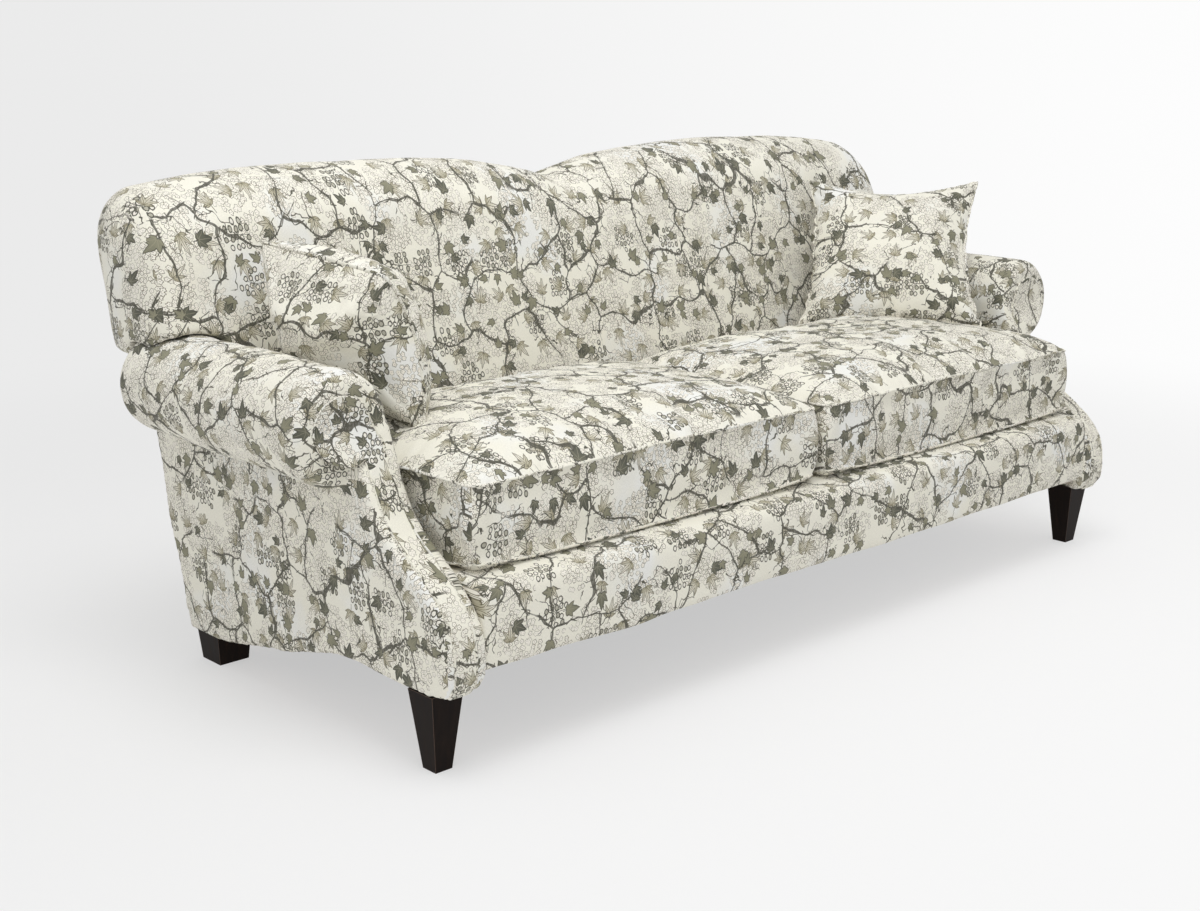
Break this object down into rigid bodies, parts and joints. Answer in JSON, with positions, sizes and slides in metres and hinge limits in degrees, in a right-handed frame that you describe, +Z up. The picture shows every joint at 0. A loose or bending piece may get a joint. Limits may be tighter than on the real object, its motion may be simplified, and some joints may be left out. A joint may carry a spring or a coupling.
{
  "type": "english roll arm sofa",
  "caption": "Upholstered sofa with rolled scroll arms, a tight humped back whose ears lie over the arms, loose boxed seat cushions, knife-edge scatter cushions and tapered wooden feet.",
  "frame": {"origin": "middle of the underside of the whole sofa, on the floor", "axes": "+X to the right as seen from the front, +Y towards the back of the sofa, +Z up; a sitter faces -Y"},
  "size_m": [2.21, 1.0088, 0.9414],
  "materials": {
    "print_fabric": "matte linen union with a trailing leaf, berry and blossom print in grey greens on cream",
    "lining_cloth": "plain calico and zip tape",
    "foam_fill": "open cell foam and fibre",
    "frame_timber": "planed beech, unfinished",
    "espresso_wood": "dark brown satin lacquer",
    "spring_steel": "plain drawn wire and zinc",
    "jute_webbing": "woven jute",
    "dust_cloth": "black nonwoven"
  },
  "bodies": {
    "frame": {"arm_pad_right": "print_fabric", "arm_pad_left": "print_fabric", "arm_facing_right": "print_fabric", "arm_facing_left": "print_fabric", "outside_arm_panel_right": "print_fabric", "outside_arm_panel_left": "print_fabric", "side_rail_right": "frame_timber", "side_rail_left": "frame_timber", "arm_stump_right": "frame_timber", "arm_stump_left": "frame_timber", "arm_top_rail_right": "frame_timber", "arm_top_rail_left": "frame_timber", "arm_lower_rail_right": "frame_timber", "arm_lower_rail_left": "frame_timber", "back_post_right": "frame_timber", "back_post_left": "frame_timber", "front_rail": "frame_timber", "rear_seat_rail": "frame_timber", "centre_rail": "frame_timber", "corner_block_right": "frame_timber", "corner_block_left": "frame_timber", "back_top_rail": "frame_timber", "back_lower_rail": "frame_timber", "back_bottom_rail": "frame_timber", "back_centre_post": "frame_timber", "back_webbing_1": "jute_webbing", "back_webbing_2": "jute_webbing", "back_webbing_3": "jute_webbing", "back_webbing_4": "jute_webbing", "back_outside_panel": "print_fabric", "back_pad": "print_fabric", "front_border": "print_fabric", "seat_deck": "lining_cloth", "seat_spring_1": "spring_steel", "seat_spring_2": "spring_steel", "seat_spring_3": "spring_steel", "seat_spring_4": "spring_steel", "seat_spring_5": "spring_steel", "dust_cover": "dust_cloth", "leg_front_right": "espresso_wood", "leg_front_left": "espresso_wood", "leg_rear_right": "espresso_wood", "leg_rear_left": "espresso_wood", "leg_bolt_front_right": "spring_steel", "leg_bolt_front_left": "spring_steel", "leg_bolt_rear_right": "spring_steel", "leg_bolt_rear_left": "spring_steel"},
    "seat_cushion_right": {"seat_cover_right": "print_fabric", "seat_core_right": "foam_fill", "seat_zip_tape_right": "lining_cloth"},
    "seat_cushion_left": {"seat_cover_left": "print_fabric", "seat_core_left": "foam_fill", "seat_zip_tape_left": "lining_cloth"},
    "zip_slider_right": {"seat_zip_slider_right": "spring_steel"},
    "zip_slider_left": {"seat_zip_slider_left": "spring_steel"},
    "scatter_cushion_right": {"scatter_cover_right": "print_fabric", "scatter_pad_right": "foam_fill"},
    "scatter_cushion_left": {"scatter_cover_left": "print_fabric", "scatter_pad_left": "foam_fill"}
  },
  "joints": [
    {"name": "seat_cushion_right_lift", "type": "slide", "parent": "frame", "child": "seat_cushion_right", "axis": [0, 0, 1], "range_m": [0, 0.3]},
    {"name": "scatter_cushion_right_lift", "type": "slide", "parent": "seat_cushion_right", "child": "scatter_cushion_right", "axis": [0, 0, 1], "range_m": [0, 0.25]},
    {"name": "zip_right_pull", "type": "slide", "parent": "seat_cushion_right", "child": "zip_slider_right", "axis": [1, 0, 0], "range_m": [0, 0.516]},
    {"name": "seat_cushion_left_lift", "type": "slide", "parent": "frame", "child": "seat_cushion_left", "axis": [0, 0, 1], "range_m": [0, 0.3]},
    {"name": "scatter_cushion_left_lift", "type": "slide", "parent": "seat_cushion_left", "child": "scatter_cushion_left", "axis": [0, 0, 1], "range_m": [0, 0.25]},
    {"name": "zip_left_pull", "type": "slide", "parent": "seat_cushion_left", "child": "zip_slider_left", "axis": [-1, 0, 0], "range_m": [0, 0.516]}
  ]
}
